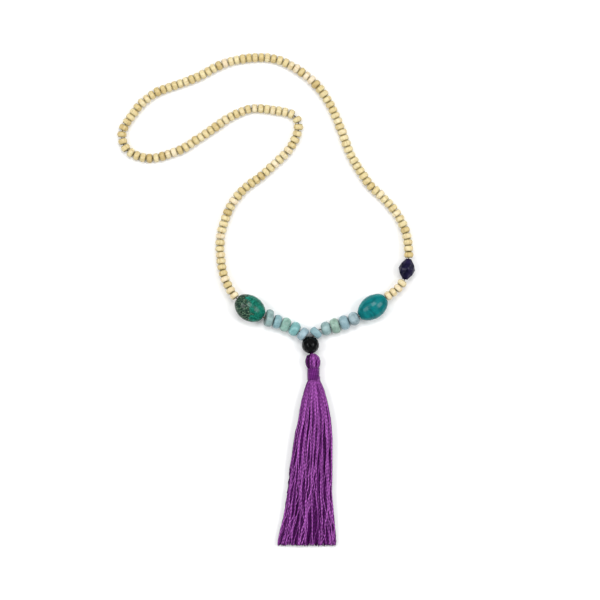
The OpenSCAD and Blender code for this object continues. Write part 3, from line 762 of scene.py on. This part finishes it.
def skirt_piece(name, count, seed, levels, tones, widths, wander, clump, cross, rings, sides):
    """Strands of one layer. levels: how high they lie, 0 the floor and 1 the top. tones: every
    how many strands one is light, then the mean tone of light ones and of dark ones. widths: least
    and most radius in millimetres. wander, clump: how far they stray and draw together. cross:
    the share that cross their neighbours."""
    source = np.random.default_rng(seed)
    t = np.linspace(-TUCKED, 1, rings)
    down = np.clip(t, 0, 1)
    hw, mid, top = skirt_shape(down)
    rounding = soft_lookup(down, 4)
    neck = np.exp(-(down / 0.012) ** 2)
    narrow = 1 - 0.14 * neck
    raised = (NECK_Z - top[0] / 2) * np.exp(-(down / 0.03) ** 2)
    paths = np.zeros((count, rings, 3))
    radii = np.zeros((count, rings))
    turn = np.zeros((count, rings))
    tone = np.zeros((count, rings))
    spread = np.linspace(-1, 1, count) + source.uniform(-1.0, 1.0, count) / count
    for i in range(count):
        a = np.full(rings, spread[i])
        radius = source.uniform(*widths) * MM
        if source.random() < cross:
            start = source.uniform(0.25, 0.7)
            far = source.choice([-1, 1]) * source.uniform(0.15, 0.5)
            a = a + far * np.clip((down - start) / (1 - start), 0, 1) ** 1.3
        a = a + waves(down, source, 0.6, 2.4) * wander * (0.25 + 0.75 * down)
        a = a + waves(down, source, 5, 11) * 0.012
        a = a + clump * np.clip(down * 3, 0, 1) * np.sin(2 * math.pi * (4.2 * a + 0.45 * np.sin(4 * down)))
        a = np.where(np.abs(a) > 1, np.sign(a) * (2 - np.abs(a)), a)
        a = np.clip(a, -1.0, 1.0)
        dome = np.sqrt(np.maximum(1 - (0.8 + 0.2 * rounding) * a * a, 0.02))
        middle = top / 2
        high = middle + middle * dome * ridges(a, down)
        low = middle * (1 - dome) * rounding
        r = radius * (0.8 + 0.2 * np.clip(down / 0.12, 0, 1)) * (1 + 0.08 * waves(down, source, 4, 9))
        is_light = i % tones[0] == 0
        level = levels[1] if is_light else source.uniform(*levels)
        level = level + waves(down, source, 0.7, 2.5) * 0.05 * down
        level = level + waves(down, source, 6, 12) * 0.02
        z = low + r + (high - low - 2 * r) * np.clip(level, 0, 1)
        z = middle + (z - middle) * narrow + raised
        y = SKIRT_Y - SKIRT_L * t - source.normal(0, 0.3) * MM * down ** 3
        paths[i] = np.stack([AXIS_X + mid + (hw - r) * a * narrow, y, np.maximum(z, r + CLEAR)], -1)
        r[-1] *= 0.5
        radii[i] = r
        turn[i] = source.uniform(0, ANY_START) + 2 * math.pi * down * source.uniform(3, 7)
        mean = tones[1] if is_light else tones[2]
        tone[i] = np.clip(source.normal(mean, 0.15), 0, 1) + 0.2 * waves(down, source, 1, 6)
        # Painted shade: darker towards the skirt's top, below the binding. Painted light: lighter at its left
        # and right edges
        tone[i] = tone[i] - 0.13 * np.exp(-(down / 0.2) ** 2) + 0.12 * np.clip(np.abs(a) * 5 - 4, 0, 1)
    mesh = tube_mesh(name, paths, radii, sides, turn, 0.8, tone)
    mesh.materials.append(SILK)
    obj = make_object(name, mesh)
    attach(obj, "root")
    return obj


def band_faces(rows, cols):
    """Quads between the rings of an open tube of rows rings, each of cols points."""
    return [[k * cols + i, k * cols + (i + 1) % cols, (k + 1) * cols + (i + 1) % cols, (k + 1) * cols + i]
        for k in range(rows - 1) for i in range(cols)]


def skirt_shade_core():
    """A dark inner body under the strands, so that no floor shows between them; its near-black purple is
    painted shade.
    """
    rows, cols = 40, 28
    end = 0.988
    side_in = 0.5 * MM
    top_in = 0.55 * MM
    under = 0.2 * MM
    t = np.linspace(0, end, rows)
    hw, mid, top = skirt_shape(t)
    angle = np.arange(cols) * 2 * math.pi / cols
    points = []
    for k in range(rows):
        a = np.cos(angle) * 0.9
        dome = np.sqrt(np.maximum(1 - a * a, 0.05))
        upper = top[k] / 2 * (1 + 0.8 * dome * ridges(a, t[k])) - top_in
        lower = np.maximum(top[k] / 2 * (1 - dome) * 0.6, under)
        z = np.where(np.sin(angle) >= 0, np.maximum(upper, lower + under / 2), lower)
        x = AXIS_X + mid[k] + (hw[k] - side_in) * a
        points.append(np.stack([x, np.full(cols, SKIRT_Y - SKIRT_L * t[k]), z], -1))
    mesh = make_mesh("tassel_shade_core", np.vstack(points), band_faces(rows, cols))
    # Near-black purple: painted shade of the strands inside
    mat, nt, shader = material("silk_core_painted_shade")
    where = nt.nodes.new("ShaderNodeTexCoord")
    lines = noise(nt, scaled(nt, where.outputs["Object"], (1500.0, 60.0, 1500.0)), 1.0, 3.0, 0.6)
    nt.links.new(ramp(nt, lines, [(0.35, (0.03, 0.001, 0.038)), (0.65, (0.1, 0.006, 0.12))]),
        shader.inputs["Base Color"])
    shader.inputs["Roughness"].default_value = 0.8
    shader.inputs["Specular IOR Level"].default_value = 0.05
    bump(nt, shader, lines, 0.8, 0.0002)
    mesh.materials.append(mat)
    obj = make_object("tassel_shade_core", mesh)
    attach(obj, "root")
    return obj


# Station down the head, and the head's radius there as a share of its largest
HEAD_ROWS = np.array([
    [0, 0.28], [0.1, 0.62], [0.25, 0.86], [0.5, 1], [0.75, 0.96], [0.92, 0.84], [1, 0.68]])


def head_radius(share):
    shifts = (-0.04, 0.0, 0.04)
    total = 0
    for shift in shifts:
        total = total + np.interp(np.clip(share + shift, 0, 1), HEAD_ROWS[:, 0], HEAD_ROWS[:, 1])
    return total / len(shifts) * HEAD_R


def head_height(share):
    """Height of the head's axis over the table, from the ball's end to the neck."""
    return HEAD_R + (NECK_Z - HEAD_R) * share


# Where the cord lies over the head, how far the head's top leans to the left, how far down its
# strands run as a share of its length, and their largest reach once they are under the binding
CORD_V = -0.28 * 2 * HEAD_R
HEAD_LEAN = -0.45 * MM
HEAD_RUN = 1.12
UNDER_BINDING = 2.95 * MM


def build_head():
    """Strands folded over the cord and drawn in under the binding, parted where the cord lies."""
    source = np.random.default_rng(31)
    count, rings = 54, 34
    part_reach = 0.75 * MM
    part_side = 0.42 * MM
    part_down = 0.25 * MM
    share = np.linspace(0.0, HEAD_RUN, rings)
    on_head = np.clip(share, 0, 1)
    paths = np.zeros((count, rings, 3))
    radii = np.zeros((count, rings))
    turn = np.zeros((count, rings))
    tone = np.zeros(count)
    for i in range(count):
        phi = 2 * math.pi * (i + source.uniform(-0.35, 0.35)) / count
        phi = phi + 0.10 * waves(share, source, 0.5, 1.4)
        radius = source.uniform(0.36, 0.45) * MM
        inner = source.choice([0.0, 0.0, 0.35]) * MM
        reach = head_radius(on_head)
        reach = np.where(share > 1, np.minimum(reach, UNDER_BINDING), reach) - radius - inner
        v = reach * np.cos(phi)
        z = head_height(on_head) + np.minimum(reach, HEAD_R) * np.sin(phi)
        above = np.sin(phi) > 0
        away = v - CORD_V
        push = np.exp(-(away / part_reach) ** 2) * above * np.clip((share - 0.02) / 0.1, 0, 1)
        v = v + np.where(away < 0, -1, 1) * push * part_side
        z = z - push * part_down
        lean = HEAD_LEAN * np.clip(1 - share, 0, 1) ** 0.5
        paths[i] = np.stack([AXIS_X + v + lean, TOP_Y - share * HEAD_L, np.maximum(z, radius)], -1)
        radii[i] = radius * (1 + 0.06 * waves(share, source, 2, 5))
        turn[i] = source.uniform(0, ANY_START) + 4 * share
        # Painted highlight: strands towards the head's upper right are lighter; the rest of the tone is
        # random
        tone[i] = np.clip(source.normal(0.42, 0.2) + 0.28 * math.cos(phi[0] - 0.9), 0, 1)
    mesh = tube_mesh("tassel_head", paths, radii, 7, turn, 0.85, tone)
    mesh.materials.append(SILK)
    obj = make_object("tassel_head", mesh)
    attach(obj, "root")
    return obj


def head_shade_core():
    """A dark inner body under the head's strands, in the skirt core's material, whose near-black purple is
    painted shade.
    """
    rows, cols = 24, 32
    side_in = 0.45 * MM
    least = 0.3 * MM
    top_in = 0.1 * MM
    angle = np.arange(cols) * 2 * math.pi / cols
    points = []
    for k in range(rows):
        share = HEAD_RUN * k / (rows - 1)
        on_head = min(share, 1.0)
        r = max(head_radius(on_head) - side_in, least)
        y = np.full(cols, TOP_Y - top_in - share * HEAD_L)
        points.append(np.stack([AXIS_X + r * np.cos(angle), y, head_height(on_head) + r * np.sin(angle)], -1))
    mesh = make_mesh("head_shade_core", np.vstack(points), band_faces(rows, cols))
    mesh.materials.append(bpy.data.materials["silk_core_painted_shade"])
    obj = make_object("head_shade_core", mesh)
    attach(obj, "root")
    return obj


def build_binding():
    """Thread wound round the neck: a flat oval swept along a screw line with small waves in it."""
    turns, steps = 10, 44
    sides = 10
    wide, thick = 0.35 * MM, 0.27 * MM
    end_in = 0.25 * MM
    skin_in = 0.3 * MM
    pitch = (BIND_L - 2 * end_in) / turns
    k = np.arange(turns * steps + 1)
    angle = 2 * math.pi * k / steps
    source = np.random.default_rng(3)
    reach = (bind_high.x - bind_low.x) / 2 - skin_in + 0.02 * MM * waves(k / k[-1], source, 5, 14)
    y = bind_high.y - end_in - pitch * k / steps + 0.05 * MM * waves(k / k[-1], source, 6, 15)
    path = np.stack([AXIS_X + reach * np.cos(angle), y, NECK_Z + reach * np.sin(angle)], -1)[None]
    step = np.gradient(path, axis=1)
    step /= np.linalg.norm(step, axis=2, keepdims=True)
    along = np.broadcast_to(np.array([0.0, 1.0, 0.0]), step.shape)
    out = np.cross(step, along)
    ring = np.arange(sides) * 2 * math.pi / sides
    points = (path[:, :, None, :] + wide * np.cos(ring)[None, None, :, None] * along[:, :, None, :]
        + thick * np.sin(ring)[None, None, :, None] * out[:, :, None, :])
    rings = path.shape[1]
    i, j = np.meshgrid(np.arange(rings - 1), np.arange(sides), indexing="ij")
    a, b = i * sides + j, i * sides + (j + 1) % sides
    faces = np.stack([a, b, b + sides, a + sides], -1).reshape(-1, 4)
    mesh = make_mesh("neck_binding", points.reshape(-1, 3), faces)
    run = 2 * math.pi * float(np.mean(reach)) * np.arange(rings) / steps
    u0, u1 = j / sides, (j + 1) / sides
    corners = np.stack([np.stack([u0, run[i]], -1), np.stack([u1, run[i]], -1),
        np.stack([u1, run[i + 1]], -1), np.stack([u0, run[i + 1]], -1)], -2).reshape(-1, 2)
    add_strand_map(mesh, corners)
    add_floats(mesh, "tone", np.repeat(0.42 + 0.2 * waves(np.arange(rings) / rings, source, 9, 23), sides))
    # Painted shade: the side of the thread that faces in against the neck is darker
    add_floats(mesh, "open", np.tile(np.clip(0.45 - 0.75 * np.sin(ring), 0, 1), rings))
    mesh.materials.append(silk_material("silk_thread", (0.03, 0.002, 0.045), (0.18, 0.026, 0.22),
        (0.42, 0.09, 0.46), 1.2 * MM, 0.4))
    obj = make_object("neck_binding", mesh)
    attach(obj, "root")
    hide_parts("tassel_binding")


def build_cord():
    """Two plies twisted round the cord's line, from the ball over the head and under the binding."""
    low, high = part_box("black_ball")
    ball = [(low.x + high.x) / 2, (low.y + high.y) / 2, (low.z + high.z) / 2]
    head = 2 * HEAD_R
    into_ball = 1.6 * MM
    before_head = 0.12 * MM
    rings, sides = 90, 10
    rounds = 14
    lay = 2.2 * MM
    ply_out = 0.23 * MM
    ply_r = 0.27 * MM

    def spot(u, v, z):
        return (AXIS_X + v, TOP_Y - u, z)

    knots = np.array([
        (ball[0], ball[1] - into_ball, ball[2]), (ball[0], TOP_Y + before_head, ball[2]),
        spot(0.12 * HEAD_L, -0.24 * head, head_height(0) + 0.2 * head),
        spot(0.3 * HEAD_L, CORD_V, head_height(0.3) + 0.36 * head),
        spot(0.55 * HEAD_L, CORD_V, head_height(0.55) + 0.4 * head),
        spot(0.8 * HEAD_L, 0.97 * CORD_V, head_height(0.8) + 0.34 * head),
        spot(HEAD_L, -0.27 * NECK_D, NECK_Z + 0.27 * NECK_D),
        spot(BIND_U + 0.4 * BIND_L, -0.25 * NECK_D, NECK_Z + 0.25 * NECK_D)])
    run = np.concatenate([[0], np.cumsum(np.linalg.norm(np.diff(knots, axis=0), axis=1))])
    at = np.linspace(0, run[-1], rings)
    line = np.stack([np.interp(at, run, knots[:, k]) for k in range(3)], -1)
    for _ in range(rounds):
        line[1:-1] = (line[:-2] + 2 * line[1:-1] + line[2:]) / 4
    step = np.gradient(line, axis=0)
    step /= np.linalg.norm(step, axis=1, keepdims=True)
    side = np.cross(step, [0.0, 0.0, 1.0])
    side /= np.linalg.norm(side, axis=1, keepdims=True)
    up = np.cross(side, step)
    paths = []
    for start in (0, math.pi):
        angle = (start + 2 * math.pi * at / lay)[:, None]
        paths.append(line + ply_out * (np.cos(angle) * side + np.sin(angle) * up))
    paths = np.array(paths)
    mesh = tube_mesh("tassel_hanging_cord", paths, np.full(paths.shape[:2], ply_r), sides,
        np.zeros(paths.shape[:2]), 1.0, np.array([0.45, 0.55]))
    # The cord is the tassel's purple silk; its much darker colours here are painted shade
    mesh.materials.append(silk_material("silk_cord", (0.008, 0.0008, 0.012), (0.03, 0.002, 0.038),
        (0.06, 0.008, 0.075), 1.2 * MM, 0.3))
    obj = make_object("tassel_hanging_cord", mesh)
    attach(obj, "root")
    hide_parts("tassel_cord")


def build_tassel():
    # The lower layers' darker tones are painted shade between the top strands; each layer's light strands are
    # partly random tone and partly painted highlight
    under = skirt_piece("tassel_strands_under", 130, 11, (0.05, 0.72), (4, 0.28, 0.04),
        (0.3, 0.38), 0.05, 0.02, 0.15, 90, 7)
    middle = skirt_piece("tassel_strands_middle", 96, 12, (0.7, 0.88), (3, 0.5, 0.13),
        (0.27, 0.33), 0.1, 0.03, 0.4, 124, 8)
    upper = skirt_piece("tassel_strands_top", 80, 13, (0.88, 1.0), (2, 0.84, 0.3),
        (0.25, 0.31), 0.1, 0.035, 0.45, 170, 7)
    core = skirt_shade_core()
    head = build_head()
    inside = head_shade_core()
    for obj in (under, middle, upper, core, head, inside):
        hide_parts("tassel")


build_tassel()
build_binding()
build_cord()


# Thread

def thread_material():
    mat, nt, shader = material("thread")
    where = nt.nodes.new("ShaderNodeTexCoord")
    twist = noise(nt, where.outputs["Object"], 1800.0, 3.0, 0.6, 1.0)
    nt.links.new(ramp(nt, twist, [(0.35, (0.05, 0.03, 0.012)), (0.65, (0.16, 0.10, 0.04))]),
        shader.inputs["Base Color"])
    shader.inputs["Roughness"].default_value = 0.6
    bump(nt, shader, twist, 0.5, 0.0001)
    return mat


nodes["thread"].data.materials.clear()
nodes["thread"].data.materials.append(thread_material())


# Camera, light and floor

def look_down():
    data = bpy.data.cameras.new("camera")
    cam = bpy.data.objects.new("camera", data)
    bpy.context.scene.collection.objects.link(cam)
    height = 1.6
    # Width of the picture at the height of the beads' middles
    span = 339.0 * MM
    beads_z = 4 * MM
    sensor = 36.0
    data.sensor_width = sensor
    data.sensor_height = sensor
    data.sensor_fit = "HORIZONTAL"
    data.lens = sensor * (height - beads_z) / span
    data.clip_start = 0.05
    data.clip_end = 20.0
    cam.location = (19.17 * MM, -0.03 * MM, height)
    cam.rotation_euler = (0.0, 0.0, 0.0)
    bpy.context.scene.camera = cam


def area_light(name, place, target, size, power):
    data = bpy.data.lights.new(name, "AREA")
    data.shape = "RECTANGLE"
    data.size, data.size_y = size
    data.energy = power
    obj = bpy.data.objects.new(name, data)
    bpy.context.scene.collection.objects.link(obj)
    obj.location = place
    way = Vector(target) - Vector(place)
    obj.rotation_euler = way.to_track_quat("-Z", "Y").to_euler()


def studio():
    reach = 3
    below = 0.1 * MM
    corners = [(-reach, -reach, 0), (reach, -reach, 0), (reach, reach, 0), (-reach, reach, 0)]
    floor_mesh = make_mesh("floor", corners, [(0, 1, 2, 3)], False)
    floor = make_object("floor", floor_mesh)
    floor.location.z = -below
    mat, _, shader = material("floor")
    shader.inputs["Base Color"].default_value = (0.95, 0.95, 0.95, 1.0)
    shader.inputs["Roughness"].default_value = 0.9
    shader.inputs["Specular IOR Level"].default_value = 0.1
    floor_mesh.materials.append(mat)
    world = bpy.data.worlds.new("world")
    world.use_nodes = True
    wt = world.node_tree
    way = wt.nodes.new("ShaderNodeTexCoord")
    parts = wt.nodes.new("ShaderNodeSeparateXYZ")
    wt.links.new(way.outputs["Generated"], parts.inputs[0])
    # Dim at the horizon and right overhead, bright between
    sky = ramp(wt, parts.outputs["Z"], [(0.0, (0.3, 0.3, 0.3)), (0.35, (0.6, 0.6, 0.6)),
        (0.6, (0.97, 0.98, 1.0)), (0.86, (0.97, 0.98, 1.0)), (0.96, (0.25, 0.25, 0.26))])
    wt.links.new(sky, wt.nodes["Background"].inputs["Color"])
    wt.nodes["Background"].inputs["Strength"].default_value = 0.6
    bpy.context.scene.world = world
    middle = (0.02, 0.0, 0.0)
    area_light("key", (0.05, 0.55, 1.3), middle, (0.6, 0.4), 6.8)
    area_light("left", (-0.85, 0.12, 1.05), middle, (0.6, 0.6), 7.5)
    area_light("right", (0.9, 0.08, 1.05), middle, (0.6, 0.6), 8.0)
    view = bpy.context.scene.view_settings
    view.view_transform = "Standard"
    view.look = "None"
    view.exposure = 0.0
    view.gamma = 1.0


look_down()
studio()
